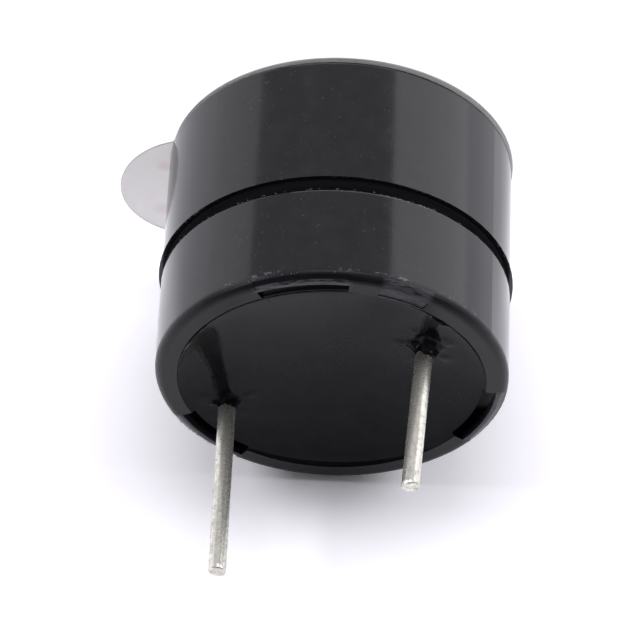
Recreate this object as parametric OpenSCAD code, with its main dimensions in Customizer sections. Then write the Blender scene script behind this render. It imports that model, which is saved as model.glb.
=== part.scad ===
// Self-drive piezo buzzer for a circuit board, 12 mm round, two pins 7.6 mm apart.
// +Z is up, pins down. The origin is on the case's axis, at the face of the bottom rim.

/* [Case] */
// diameter of the two case halves
case_diameter = 12; // [10:0.1:14.4]
// height from the bottom rim to the top face
case_height = 9.13; // [7.8:0.01:10.8]
// height of the lower half's side
lower_height = 3.68; // [3:0.01:4.4]
// height of the dark groove left between the two halves
groove_height = 0.42; // [0.2:0.02:0.8]
// how far the upper half's lip stands out at its lower edge
lip_out = 0.1; // [0:0.02:0.3]
// height over which the lip thins out to the side
lip_height = 0.06; // [0.04:0.01:0.5]
// wall of the upper half beside the lower half's spigot
upper_wall = 0.7; // [0.5:0.05:1]
// thickness of the top
top_thickness = 0.8; // [0.5:0.05:1.2]
// rounding of the top edge
top_round = 0.16; // [0.05:0.01:0.3]
// rounding of the lower half's upper edge
shoulder_round = 0.13; // [0.04:0.01:0.2]
// rounding of the bottom rim's outer edge
rim_round = 0.3; // [0.05:0.01:0.35]
// air gap between the spigot and the upper half, all round
spigot_clearance = 0.05; // [0.02:0.01:0.15]
// thickness of the spigot
spigot_wall = 0.7; // [0.5:0.05:1]
// height of the lead-in taper at the spigot's end
lead_in_height = 0.3; // [0.1:0.05:0.5]
// width of that taper
lead_in_width = 0.15; // [0.05:0.01:0.3]

/* [Sound cavity] */
// diameter of the sound port
port_diameter = 2.2; // [1:0.1:3.2]
// height of the air space between the element and the top
cavity_height = 1.5; // [1:0.1:2.4]
// diameter of that air space
cavity_diameter = 9; // [7:0.1:9.6]

/* [Bottom rim] */
// width of the flat rim face
rim_width = 0.75; // [0.5:0.05:1]
// depth of the wide part of the resin well
rim_depth = 0.95; // [0.6:0.05:1.2]
// number of windows around the rim
window_count = 3; // [2:1:4]
// direction of the first window
window_angle = -72.5; // [-90:0.5:-60]
// angle that one window spans
window_span = 32; // [20:1:50]
// width of a window's outer wall
window_wall = 0.4; // [0.35:0.01:0.5]
// width of the bevel on that wall's outer edge
bevel_width = 0.26; // [0.05:0.01:0.3]
// height of that bevel
bevel_height = 0.2; // [0.04:0.01:0.3]
// width of a window's slot
window_slot = 0.46; // [0.3:0.02:0.5]
// depth of that slot
slot_depth = 0.8; // [0.4:0.05:0.9]
// wall that backs a window on the well's side
window_back = 0.1; // [0.06:0.01:0.2]
// depth of that wall's edge, under the resin
back_depth = 0.25; // [0.2:0.01:0.4]
// how far that wall runs on past each end of the window, as an angle
window_overrun = 2.5; // [1:0.5:4]
// direction of the single shallow pad between two windows
pad_angle = -37; // [-50:1:-20]
// angle that the pad spans
pad_span = 18; // [8:1:24]
// width of the pad
pad_width = 0.36; // [0.2:0.02:0.5]
// depth of the pad
pad_depth = 0.03; // [0.02:0.01:0.1]

/* [Resin] */
// how far the resin's edge lies inside the rim face
resin_edge = 0.05; // [0.01:0.01:0.2]
// sag of the cured resin from its edge to the middle
resin_sag = 0.35; // [0.1:0.05:0.7]
// height that the resin creeps up the rim
rim_creep = 0.2; // [0.02:0.01:0.3]
// width of that creep
rim_creep_width = 0.6; // [0.2:0.02:0.8]
// height that the resin climbs a pin
pin_creep = 0.39; // [0.1:0.01:0.4]
// width of that climb
pin_creep_width = 0.5; // [0.2:0.02:0.7]
// joint line between resin and what it touches
poured_gap = 0.01; // [0.005:0.001:0.02]

/* [Pins] */
// distance between the two pins
pin_pitch = 7.6; // [6.4:0.1:7.8]
// how far the pair was poured off the case's axis, along the pair
pair_shift = -0.24; // [-0.3:0.02:0.3]
// diameter of a pin
pin_diameter = 0.6; // [0.5:0.01:0.7]
// length of the longer pin below the rim
positive_length = 6.57; // [5.6:0.01:8]
// length of the shorter pin below the rim
negative_length = 5.27; // [4.5:0.01:6.5]
// how far a pin's plain round length runs in past the rim face
bare_inside = 0.1; // [0.02:0.01:0.1]
// extra diameter at the middle of the swaged length held in the resin
grip_extra = 0.06; // [0.02:0.01:0.1]
// diameter of the stem soldered in the board
stem_diameter = 0.5; // [0.4:0.01:0.55]
// height of the stem above the board
stem_above = 0.6; // [0.4:0.05:1]
// chamfer left by the cutter at a pin's end
pin_cut = 0.05; // [0.02:0.01:0.1]

/* [Circuit board] */
// height of the board's underside above the rim face
board_bottom = 1.3; // [1.1:0.05:1.6]
// thickness of the board
board_thickness = 0.8; // [0.6:0.1:1]
// width of the ledge that the board rests against
board_ledge = 0.4; // [0.3:0.05:0.6]
// gap between the board's edge and the case
board_clearance = 0.05; // [0.02:0.01:0.1]
// gap between a pin's stem and its hole in the board
hole_clearance = 0.03; // [0.01:0.01:0.06]
// base diameter of a pin's solder joint
joint_diameter = 0.9; // [0.8:0.05:1.2]
// height of a pin's solder joint
joint_height = 0.45; // [0.3:0.05:0.6]
// least gap between a solder joint and the spigot beside it
joint_clearance = 0.05; // [0.02:0.01:0.1]

/* [Parts on the board] */
// diameter of the choke's flanges
choke_diameter = 3; // [2:0.1:3.4]
// how far the winding lies inside the flanges' edge
winding_inset = 0.2; // [0.1:0.05:0.4]
// height of the choke
choke_height = 2.2; // [1.5:0.1:2.6]
// diameter of the choke's waist
choke_waist = 1.2; // [0.8:0.1:1.6]
// thickness of each choke flange
choke_flange = 0.4; // [0.3:0.05:0.6]
// position of the choke on the board
choke_at = [0.2, -2.1];
// size of the transistor's body
transistor_size = [2.9, 1.3, 1];
// position of the transistor
transistor_at = [-1.1, 1.7];
// size of a chip resistor
resistor_size = [1.6, 0.8, 0.45];
// position of the base resistor
base_resistor_at = [-2.2, -0.5];
// position of the supply resistor
supply_resistor_at = [1.6, 0.5];

/* [Piezo element] */
// gap between the brass disc's edge and the upper half, all round
brass_clearance = 0.3; // [0.15:0.05:0.4]
// thickness of the brass disc
brass_thickness = 0.2; // [0.1:0.01:0.3]
// diameter of the ceramic
ceramic_diameter = 7; // [5.8:0.1:7.4]
// thickness of the ceramic
ceramic_thickness = 0.2; // [0.1:0.01:0.3]
// diameter of the main electrode
electrode_diameter = 6.4; // [5.4:0.1:6.8]
// thickness of the silver
silver_thickness = 0.03; // [0.02:0.005:0.05]
// width of the feedback tongue
tongue_width = 1.2; // [0.8:0.1:1.6]
// length of the feedback tongue from the electrode's edge inwards
tongue_length = 2.4; // [1.6:0.1:2.8]
// how far the tongue runs out past the electrode's edge
tongue_run = 0.1; // [0.05:0.05:0.3]
// bare gap around the tongue
tongue_gap = 0.3; // [0.2:0.05:0.4]
// height of the glue ring below the element
glue_height = 0.3; // [0.2:0.02:0.5]
// width of the glue ring
glue_width = 0.4; // [0.3:0.05:0.6]

/* [Wires] */
// diameter of an insulated lead wire
wire_diameter = 0.36; // [0.25:0.01:0.45]
// how much thicker a wire is where it bends
elbow_swell = 1.06; // [1.02:0.01:1.1]
// height of a wire's lower bend, as a share of its rise
lower_bend = 0.4; // [0.2:0.05:0.5]
// height of its upper bend, as a share of its rise
upper_bend = 0.75; // [0.55:0.05:0.85]
// height of a wire's solder joint
dot_height = 0.2; // [0.1:0.02:0.3]
// base diameter of a wire's solder joint
dot_diameter = 0.8; // [0.6:0.02:1]
// where the main wire meets the element
main_on_element = [1.7, 1.1];
// where the main wire meets the board
main_on_board = [2.7, 2.3];
// where the feedback wire meets the board
feedback_on_board = [-3, -2.2];
// where the plate wire meets the element
plate_on_element = [0.7, 4];
// where the plate wire meets the board
plate_on_board = [1, 3.3];

/* [Wash seal] */
// diameter of the seal's round part
seal_diameter = 12; // [10:0.1:12.6]
// thickness of the film
seal_thickness = 0.1; // [0.05:0.01:0.2]
// how far the film was stuck off the case's axis
seal_shift = 0.22; // [0:0.02:0.4]
// direction of that shift
seal_shift_angle = -15; // [-60:1:60]
// direction of the pull tab
tab_angle = 191; // [170:1:210]
// width of the pull tab
tab_width = 4.9; // [3:0.1:6]
// how far the tab's tip is from the case's axis
tab_reach = 8.1; // [6.8:0.1:9.7]

/* [Hidden] */
$fn = 96;
eps = 0.01;
case_r = case_diameter / 2;
upper_bottom = lower_height + groove_height;
bore_r = case_r - upper_wall;
brass_diameter = 2 * (bore_r - brass_clearance);
spigot_r = bore_r - spigot_clearance;
spigot_in = spigot_r - spigot_wall;
brass_top = case_height - top_thickness - cavity_height;
brass_bottom = brass_top - brass_thickness;
spigot_top = brass_bottom - glue_height;
board_top = board_bottom + board_thickness;
well_r = case_r - rim_width;
board_well = spigot_in + board_ledge;
board_r = board_well - board_clearance;
slot_out = case_r - window_wall;
slot_in = slot_out - window_slot;
ceramic_bottom = brass_bottom - ceramic_thickness;
silver_bottom = ceramic_bottom - silver_thickness;
back_in = slot_in - window_back;
back_span = window_span + 2 * window_overrun;
poured_angle = 0.2;
pin_r = pin_diameter / 2;
pin_x = [pair_shift - pin_pitch / 2, pair_shift + pin_pitch / 2];
grip_r = pin_r + grip_extra / 2;
grip_middle = (bare_inside + board_bottom) / 2;
joint_room = 2 * (spigot_in - joint_clearance - max(pin_x[1], -pin_x[0]));
joint_top = 0.15;
tongue_at = [-(electrode_diameter - tongue_length) / 2 - tongue_run, 0];
pad_middle = (well_r + case_r - rim_round) / 2;
arc_steps = 6;
sag_steps = 22;

// points of a quarter round from angle a0, centred on c
function round_points(c, r, a0) =
  [for (i = [0:arc_steps]) c + r * [cos(a0 + 90 * i / arc_steps), sin(a0 + 90 * i / arc_steps)]];

// a turned solid from its half section
module turned(points) {
  rotate_extrude() polygon(points);
}

// a ring sector between two radii and two heights, centred on an angle
module sector(a, span, r0, r1, z0, z1) {
  rotate([0, 0, a - span / 2])
    rotate_extrude(angle = span)
      translate([r0, z0]) square([r1 - r0, z1 - z0]);
}

module at_pins() {
  for (x = pin_x) translate([x, 0, 0]) children();
}

module windows() {
  for (i = [0:window_count - 1]) rotate([0, 0, window_angle + i * 360 / window_count]) children();
}

// the taller half: lip, side, rounded top edge, stepped bore, sound port
module upper_case() {
  color("#1c1c1f") turned(concat(
    [[bore_r, upper_bottom], [case_r + lip_out, upper_bottom], [case_r, upper_bottom + lip_height]],
    round_points([case_r - top_round, case_height - top_round], top_round, 0),
    [[port_diameter / 2, case_height], [port_diameter / 2, case_height - top_thickness],
     [cavity_diameter / 2, case_height - top_thickness], [cavity_diameter / 2, brass_top],
     [bore_r, brass_top]]));
}

// the shorter half: rim, resin well, board ledge, spigot and the rim's windows
module lower_case() {
  color("#1c1c1f") difference() {
    union() {
      turned(concat(
        [[well_r, 0]],
        round_points([case_r - rim_round, rim_round], rim_round, -90),
        round_points([case_r - shoulder_round, lower_height - shoulder_round], shoulder_round, 0),
        [[spigot_r, lower_height], [spigot_r, spigot_top - lead_in_height],
         [spigot_r - lead_in_width, spigot_top],
         [spigot_in, spigot_top], [spigot_in, board_top], [board_well, board_top],
         [board_well, rim_depth], [well_r, rim_depth]]));
      windows() sector(0, back_span, back_in, well_r + eps, back_depth, rim_depth);
    }
    windows() {
      sector(0, window_span, slot_in, slot_out, -eps, slot_depth);
      rotate([0, 0, -window_span / 2]) rotate_extrude(angle = window_span)
        polygon([[case_r - bevel_width, 0], [case_r - bevel_width, -eps], [case_r + eps, -eps],
          [case_r + eps, bevel_height], [case_r, bevel_height]]);
    }
    sector(pad_angle, pad_span, pad_middle - pad_width / 2, pad_middle + pad_width / 2, -eps, pad_depth);
  }
}

// height of the cured resin's surface at radius r
function resin_z(r) = resin_edge + resin_sag * (1 - pow(r / well_r, 2))
  + rim_creep * (1 - exp(-(well_r - r) / rim_creep_width));

// the resin: dished by shrinkage, creeping up the rim and climbing both pins
module potting() {
  r1 = well_r - poured_gap;
  r2 = board_well - poured_gap;
  pin_z = resin_z(pin_pitch / 2);
  creep_root = pin_creep / 3;
  color("#101012") difference() {
    union() {
      turned(concat(
        [for (i = [0:sag_steps]) let (r = r1 * (1 - pow(1 - i / sag_steps, 1.5))) [r, resin_z(r)]],
        [[r1, rim_depth - poured_gap], [r2, rim_depth - poured_gap], [r2, board_bottom],
         [0, board_bottom]]));
      at_pins() turned(concat(
        [for (i = [0:arc_steps]) let (t = i / arc_steps)
          [pin_r / 2 + t * (pin_creep_width + pin_r / 2),
           pin_z + creep_root - (pin_creep + creep_root) * pow(1 - t, 3)]],
        [[pin_creep_width + pin_r, pin_z + 3 * creep_root], [pin_r / 2, pin_z + 3 * creep_root]]));
    }
    windows() {
      sector(0, back_span + poured_angle, back_in - poured_gap, case_r, back_depth - poured_gap, rim_depth);
      sector(0, window_span, slot_in - poured_gap, case_r, -1, rim_depth);
    }
    at_pins() turned([[0, -1], [pin_r + poured_gap, -1], [pin_r + poured_gap, bare_inside],
      [grip_r + poured_gap, grip_middle], [pin_r + poured_gap, board_bottom + eps], [0, board_bottom + eps]]);
  }
}

// a pin: cut end, bright length, gripped length in the resin, stem through the board
module pin(length) {
  turned([[0, -length], [pin_r - pin_cut, -length], [pin_r, -length + pin_cut], [pin_r, bare_inside],
    [grip_r, grip_middle], [pin_r, board_bottom], [stem_diameter / 2, board_bottom],
    [stem_diameter / 2, board_top + stem_above], [0, board_top + stem_above]]);
}

module positive_pin() {
  color("#b9b9b2") translate([pin_x[0], 0, 0]) pin(positive_length);
}

module negative_pin() {
  color("#b9b9b2") translate([pin_x[1], 0, 0]) pin(negative_length);
}

// the film over the sound port, stuck a little off centre, with its pull tab
module wash_seal() {
  color("#d6d4d2") union() {
    translate([seal_shift * cos(seal_shift_angle), seal_shift * sin(seal_shift_angle), case_height])
      cylinder(d = seal_diameter, h = seal_thickness);
    rotate([0, 0, tab_angle]) translate([0, 0, case_height]) {
      translate([case_r / 2, -tab_width / 2, 0])
        cube([tab_reach - tab_width / 2 - case_r / 2, tab_width, seal_thickness]);
      translate([tab_reach - tab_width / 2, 0, 0]) cylinder(d = tab_width, h = seal_thickness);
    }
  }
}

module circuit_board() {
  color("#2f6b3c") difference() {
    translate([0, 0, board_bottom]) cylinder(r = board_r, h = board_thickness);
    at_pins() translate([0, 0, board_bottom - 1])
      cylinder(d = stem_diameter + 2 * hole_clearance, h = board_thickness + 2);
  }
}

module brass_disc() {
  color("#c9a24a") translate([0, 0, brass_bottom]) cylinder(d = brass_diameter, h = brass_thickness);
}

module piezo_ceramic() {
  color("#d8cfb4") translate([0, 0, ceramic_bottom]) cylinder(d = ceramic_diameter, h = ceramic_thickness);
}

// outline of the feedback tongue, grown by g
module tongue(g) {
  translate([tongue_at[0], tongue_at[1], 0]) {
    translate([-tongue_length / 2, -tongue_width / 2 - g, 0])
      cube([tongue_length - tongue_width / 2, tongue_width + 2 * g, silver_thickness]);
    translate([tongue_length / 2 - tongue_width / 2, 0, 0])
      cylinder(r = tongue_width / 2 + g, h = silver_thickness);
  }
}

module main_electrode() {
  color("#d5d5d2") difference() {
    translate([0, 0, silver_bottom]) cylinder(d = electrode_diameter, h = silver_thickness);
    translate([0, 0, silver_bottom - 0.5]) scale([1, 1, 1 / silver_thickness]) {
      tongue(tongue_gap);
      translate([-tongue_length, 0, 0]) tongue(tongue_gap);
    }
  }
}

module feedback_electrode() {
  color("#d5d5d2") intersection() {
    translate([0, 0, silver_bottom]) tongue(0);
    translate([0, 0, silver_bottom - 0.5]) cylinder(d = electrode_diameter, h = 1);
  }
}

// silicone that holds the element between the spigot and the ledge above it
module mounting_glue() {
  color("#e6e6e0") translate([0, 0, spigot_top]) difference() {
    cylinder(d = brass_diameter, h = glue_height);
    translate([0, 0, -1]) cylinder(d = brass_diameter - 2 * glue_width, h = glue_height + 2);
  }
}

module choke_core() {
  r = choke_diameter / 2;
  w = choke_waist / 2;
  f = choke_flange;
  color("#3b3b3d") translate([choke_at[0], choke_at[1], board_top])
    turned([[0, 0], [r, 0], [r, f], [w, f], [w, choke_height - f], [r, choke_height - f],
      [r, choke_height], [0, choke_height]]);
}

module choke_winding() {
  color("#b5642d") translate([choke_at[0], choke_at[1], board_top + choke_flange + poured_gap])
    difference() {
      cylinder(r = choke_diameter / 2 - winding_inset, h = choke_height - 2 * choke_flange - 2 * poured_gap);
      translate([0, 0, -1]) cylinder(r = choke_waist / 2 + poured_gap, h = choke_height + 2);
    }
}

// a box-shaped part standing on the board
module board_part(at, size) {
  translate([at[0] - size[0] / 2, at[1] - size[1] / 2, board_top]) cube(size);
}

module transistor() {
  color("#262628") board_part(transistor_at, transistor_size);
}

module base_resistor() {
  color("#2b2b30") board_part(base_resistor_at, resistor_size);
}

module supply_resistor() {
  color("#2b2b30") board_part(supply_resistor_at, resistor_size);
}

module pin_solder() {
  color("#c4c4bf") at_pins() translate([0, 0, board_top]) difference() {
    cylinder(d1 = min(joint_diameter, joint_room), d2 = stem_diameter + joint_top, h = joint_height);
    translate([0, 0, -1]) cylinder(d = stem_diameter + 2 * poured_gap, h = joint_height + 2);
  }
}

// where each wire meets the board and the element, and how high the element is there
wire_ends = [[main_on_board, main_on_element, silver_bottom],
  [feedback_on_board, tongue_at, silver_bottom], [plate_on_board, plate_on_element, brass_bottom]];

module board_solder() {
  color("#c4c4bf") for (w = wire_ends) translate([w[0][0], w[0][1], board_top])
    cylinder(d1 = dot_diameter, d2 = wire_diameter, h = dot_height);
}

module element_solder() {
  color("#c4c4bf") for (w = wire_ends) translate([w[1][0], w[1][1], w[2] - dot_height])
    cylinder(d1 = wire_diameter, d2 = dot_diameter, h = dot_height);
}

// a round rod from one point to another
module rod(a, b) {
  d = b - a;
  l = norm(d);
  translate(a) rotate([0, acos(d[2] / l), atan2(d[1], d[0])]) cylinder(d = wire_diameter, h = l);
}

// a lead wire: up from the board, across under the element, up to its joint
module wire(w) {
  z0 = board_top + dot_height;
  z3 = w[2] - dot_height;
  p = [[w[0][0], w[0][1], z0], [w[0][0], w[0][1], z0 + (z3 - z0) * lower_bend],
    [w[1][0], w[1][1], z0 + (z3 - z0) * upper_bend], [w[1][0], w[1][1], z3]];
  for (i = [0:2]) rod(p[i], p[i + 1]);
  for (i = [1:2]) translate(p[i]) sphere(d = wire_diameter * elbow_swell);
}

module main_wire() {
  color("#a32020") wire(wire_ends[0]);
}

module feedback_wire() {
  color("#3156a3") wire(wire_ends[1]);
}

module plate_wire() {
  color("#1e1e20") wire(wire_ends[2]);
}

upper_case();
lower_case();
potting();
positive_pin();
negative_pin();
wash_seal();
circuit_board();
brass_disc();
piezo_ceramic();
main_electrode();
feedback_electrode();
mounting_glue();
choke_core();
choke_winding();
transistor();
base_resistor();
supply_resistor();
pin_solder();
board_solder();
element_solder();
main_wire();
feedback_wire();
plate_wire();
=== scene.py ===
import math
import bmesh
import bpy
from mathutils import Matrix, Vector, noise


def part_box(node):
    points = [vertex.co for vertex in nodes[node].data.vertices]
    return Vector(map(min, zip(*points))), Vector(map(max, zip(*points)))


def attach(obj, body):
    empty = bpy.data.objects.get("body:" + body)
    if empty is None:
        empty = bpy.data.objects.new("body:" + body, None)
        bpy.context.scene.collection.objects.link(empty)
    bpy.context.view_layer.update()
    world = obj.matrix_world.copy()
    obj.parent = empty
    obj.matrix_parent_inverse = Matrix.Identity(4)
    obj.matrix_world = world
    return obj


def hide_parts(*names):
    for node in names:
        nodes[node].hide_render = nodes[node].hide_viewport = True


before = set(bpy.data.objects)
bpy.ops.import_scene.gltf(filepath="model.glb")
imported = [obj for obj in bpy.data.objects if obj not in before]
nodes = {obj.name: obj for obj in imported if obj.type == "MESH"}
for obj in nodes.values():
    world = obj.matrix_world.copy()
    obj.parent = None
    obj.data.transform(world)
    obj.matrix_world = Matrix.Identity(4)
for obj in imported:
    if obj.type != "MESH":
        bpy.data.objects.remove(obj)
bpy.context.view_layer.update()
scene = bpy.context.scene
mm = 0.001
print("frame loaded:", len(nodes), "nodes")


def boxOf(node):   # a CAD node's lowest and highest corner, in mm
    return [[round(value / mm, 3) for value in corner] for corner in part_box(node)]


def middleOf(node):   # the middle of that box, seen along the case's axis
    low, high = boxOf(node)
    return (low[0] + high[0]) / 2, (low[1] + high[1]) / 2


# sizes of the case in mm, from the frame, and the rim's windows in degrees, as part.scad has them
upperLow, upperHigh = boxOf("upper_case")
caseR, lipR = boxOf("lower_case")[1][0], upperHigh[0]
lipZ, topZ = upperLow[2], upperHigh[2]
windows = dict(count=3, first=-72.5, half=16.0)
pinAt = dict(positive=middleOf("positive_pin"), negative=middleOf("negative_pin"))


def toLinear(hexColour):   # sRGB hex to the linear colour that sockets take
    channels = [int(hexColour[i:i + 2], 16) / 255 for i in (1, 3, 5)]
    return [c / 12.92 if c <= 0.04045 else ((c + 0.055) / 1.055) ** 2.4 for c in channels] + [1.0]


def perMm(size):   # texture scale that gives features of about this many millimetres
    return 1.0 / (size * mm)


def addNode(tree, kind, links=None, **settings):   # one node, its settings, and what each input takes
    new = tree.nodes.new(kind)
    for name, value in settings.items():
        setattr(new, name, value)
    for socket, value in (links or {}).items():
        if isinstance(value, bpy.types.Node):   # a node stands for its first output in use
            value = next(output for output in value.outputs if output.enabled)
        if isinstance(value, bpy.types.NodeSocket):
            tree.links.new(value, new.inputs[socket])
        else:
            new.inputs[socket].default_value = value
    return new


def distanceFrom(tree, value, middle):   # how far a value is from a middle, either way
    off = addNode(tree, "ShaderNodeMath", {0: value, 1: middle}, operation="SUBTRACT")
    return addNode(tree, "ShaderNodeMath", {0: off}, operation="ABSOLUTE")


def seenDirectly(tree):   # 1 for what the eye sees, also in a gloss or through the film, 0 for other light
    path = addNode(tree, "ShaderNodeLightPath")
    direct = addNode(tree, "ShaderNodeMath", {0: path.outputs["Is Camera Ray"],
                     1: path.outputs["Is Glossy Ray"]}, operation="MAXIMUM")
    return addNode(tree, "ShaderNodeMath", {0: direct, 1: path.outputs["Is Transmission Ray"]},
                   operation="MAXIMUM")


def newMaterial(name):
    made = bpy.data.materials.new(name)
    made.use_nodes = True
    made.node_tree.nodes.clear()
    return made, made.node_tree


def dress(nodeNames, material):   # gives CAD nodes their finish
    for name in nodeNames:
        for slot in nodes[name].material_slots:
            slot.material = material


def addObject(name, data):
    made = bpy.data.objects.new(name, data)
    scene.collection.objects.link(made)
    return made


# camera: facing the pins, from below the case and to its right, turned a little about its own axis
cameraSetup = dict(azimuth=29.094, elevation=-35.383, roll=2.589, distance=138.1, aim=(-0.91, 0.643, 3.255),
                   lens=225.0, sensor=36, clip=(0.01, 10))


def makeCamera(s):
    a, e = math.radians(s["azimuth"]), math.radians(s["elevation"])
    back = Vector((math.sin(a) * math.cos(e), -math.cos(a) * math.cos(e), math.sin(e)))
    right = Vector((math.cos(a), math.sin(a), 0))
    level = Matrix((right, back.cross(right), back)).transposed()
    turn = level @ Matrix.Rotation(math.radians(s["roll"]), 3, "Z")
    data = bpy.data.cameras.new("camera")
    data.lens = s["lens"]
    data.sensor_width = s["sensor"]
    data.clip_start, data.clip_end = s["clip"]
    camera = addObject("camera", data)
    spot = Vector(s["aim"]) * mm + back * s["distance"] * mm
    camera.matrix_world = Matrix.Translation(spot) @ turn.to_4x4()
    scene.camera = camera
    return back, right


cameraBack, sideways = makeCamera(cameraSetup)
outward = Vector((cameraBack.x, cameraBack.y, 0)).normalized()   # square to the table that the case lies on
upward = Vector((0, 0, 1))
print("camera placed")


# table: the case lies on its side, so the table is an upright plane behind it, open from the back
tableSetup = dict(gap=lipR + 0.12, size=400.0, colour="#f0f0f2", seenLift=0.45,
                  # the last three set painted shade: the board's colour falls to a lower level between these
                  # two heights
                  paintedShadeFrom=6.0, paintedShadeTo=16.0, paintedShadeLevel=0.69)


def makeTable(s):
    half = s["size"] / 2 * mm
    across = Vector((-outward.y, outward.x, 0))
    corners = [across * half * i + upward * half * j - outward * s["gap"] * mm
               for i, j in ((-1, -1), (1, -1), (1, 1), (-1, 1))]
    mesh = bpy.data.meshes.new("table")
    mesh.from_pydata(corners, [], [(0, 1, 2, 3)])
    table = addObject("table", mesh)
    # brighter to the eye than in the light that it throws back, and painted shade dims its colour past the
    # case's top end
    material, tree = newMaterial("matt white board")
    lift = addNode(tree, "ShaderNodeMath", {0: seenDirectly(tree), 1: s["seenLift"], 2: 1.0},
                   operation="MULTIPLY_ADD")
    place = addNode(tree, "ShaderNodeTexCoord").outputs["Object"]
    height = addNode(tree, "ShaderNodeSeparateXYZ", {0: place}).outputs["Z"]
    pool = addNode(tree, "ShaderNodeMapRange", {"Value": height, "From Min": s["paintedShadeFrom"] * mm,
                   "From Max": s["paintedShadeTo"] * mm, "To Min": 1.0, "To Max": s["paintedShadeLevel"]},
                   interpolation_type="SMOOTHSTEP")
    level = addNode(tree, "ShaderNodeMath", {0: lift, 1: pool}, operation="MULTIPLY")
    white = addNode(tree, "ShaderNodeVectorMath", {0: toLinear(s["colour"])[:3], "Scale": level},
                    operation="SCALE")
    matt = addNode(tree, "ShaderNodeBsdfDiffuse", {"Color": white})
    face = addNode(tree, "ShaderNodeNewGeometry")
    clear = addNode(tree, "ShaderNodeBsdfTransparent")
    oneSided = addNode(tree, "ShaderNodeMixShader", {0: face.outputs["Backfacing"], 1: matt, 2: clear})
    addNode(tree, "ShaderNodeOutputMaterial", {"Surface": oneSided})
    mesh.materials.append(material)


makeTable(tableSetup)

# soft boxes: the main one square above the table, a small one to each side of it, a tall one to each side
# of the case and one past its top end
lampSetup = dict(
    main=dict(out=0.978, side=0.0, up=0.208, distance=320, size=(230, 90), level=4.4),
    leftHigh=dict(out=0.62, side=-0.76, up=0.12, distance=300, size=(120, 120), level=8.0),
    rightHigh=dict(out=0.62, side=0.76, up=0.12, distance=300, size=(120, 120), level=6.0),
    right=dict(out=0.32, side=0.76, up=0.55, distance=260, size=(250, 330), level=1.07),
    left=dict(out=0.10, side=-0.85, up=0.50, distance=260, size=(200, 330), level=0.58),
    rear=dict(out=0.45, side=0.05, up=0.89, distance=280, size=(260, 170), level=1.2))
lampColour = toLinear("#fbf9ff")   # slightly cool
# the room that lights the case and the one that is seen in it: both turn dark towards the pins
roomSetup = dict(lit=dict(below=-0.45, above=0.2, dark=0.09, light=0.55),
                 seen=dict(below=-0.6, above=-0.3, dark=0.24, light=0.57))


def makeLamps(s):
    for name, lamp in s.items():
        width, height = lamp["size"][0] * mm, lamp["size"][1] * mm
        data = bpy.data.lights.new(name, "AREA")
        data.shape = "RECTANGLE"
        data.size, data.size_y = width, height
        data.energy = lamp["level"] * math.pi * width * height   # level is the box's brightness in a mirror
        data.color = lampColour[:3]
        made = addObject(name, data)
        way = (outward * lamp["out"] + sideways * lamp["side"] + upward * lamp["up"]).normalized()
        made.location = way * lamp["distance"] * mm
        made.rotation_euler = (-way).to_track_quat("-Z", "Y").to_euler()


def makeRoom(s):
    world = bpy.data.worlds.new("room")
    scene.world = world
    world.use_nodes = True
    tree = world.node_tree
    tree.nodes.clear()
    way = addNode(tree, "ShaderNodeTexCoord").outputs["Generated"]
    height = addNode(tree, "ShaderNodeSeparateXYZ", {0: way}).outputs["Z"]
    lit, seen = [addNode(tree, "ShaderNodeMapRange", {"Value": height, "From Min": own["below"],
                 "From Max": own["above"], "To Min": own["dark"], "To Max": own["light"]},
                 interpolation_type="SMOOTHSTEP") for own in (s["lit"], s["seen"])]
    shown = addNode(tree, "ShaderNodeMix", {0: seenDirectly(tree), 2: lit, 3: seen})
    light = addNode(tree, "ShaderNodeBackground", {"Color": lampColour, "Strength": shown})
    addNode(tree, "ShaderNodeOutputWorld", {"Surface": light})


makeLamps(lampSetup)
makeRoom(roomSetup)
scene.view_settings.view_transform = "Standard"
print("table, lamps and room made")


# injection-moulded black PBT: a glossy skin that mirrors soft boxes with a fine grain, and dull scuffs on
# worn edges; sizes are in mm and the pad's place in degrees
caseFinish = dict(
    # painted light: the paler grey given for the groove between the halves lifts that recess, fading towards
    # the lip
    colour="#0d0d0f", bloomColour="#161619", dustColour="#303034", paintedGrooveLightColour="#5a5a5f",
    # painted shade: the face tint given here greys the reflection on the rim's face
    scuffColour="#55575b", wornColour="#5e5f64", faceReflectionShade="#88888c", gloss=(0.10, 0.16), dull=0.42,
    faceDull=0.75, tornRelief=9.0, streaksPerMm=12.0, padAt=-37.0, padHalf=9.5, padScuff=0.6,
    grain=0.07, relief=0.002, bloom=0.7, dust=0.11, fleck=0.16, groups=1.4, wallFrom=(5.58, 5.65),
    bevelFrom=(5.8, 5.84), scuffedTo=(0.2, 0.3), faceTo=(0.24, 0.4), paintedGrooveLightWithin=caseR - 0.1, paintedGrooveLightFrom=3.6,
    paintedGrooveLightTo=lipZ + 0.1,
    wornEdges=(dict(z=3.63, spread=0.1, least=caseR - 0.14),          # the lower half's shoulder
               dict(z=lipZ + 0.02, spread=0.05, least=caseR + 0.03),  # the upper half's lip
               dict(z=0.36, spread=0.07, least=caseR - 0.14)))        # above the rim's rounded edge


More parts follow.
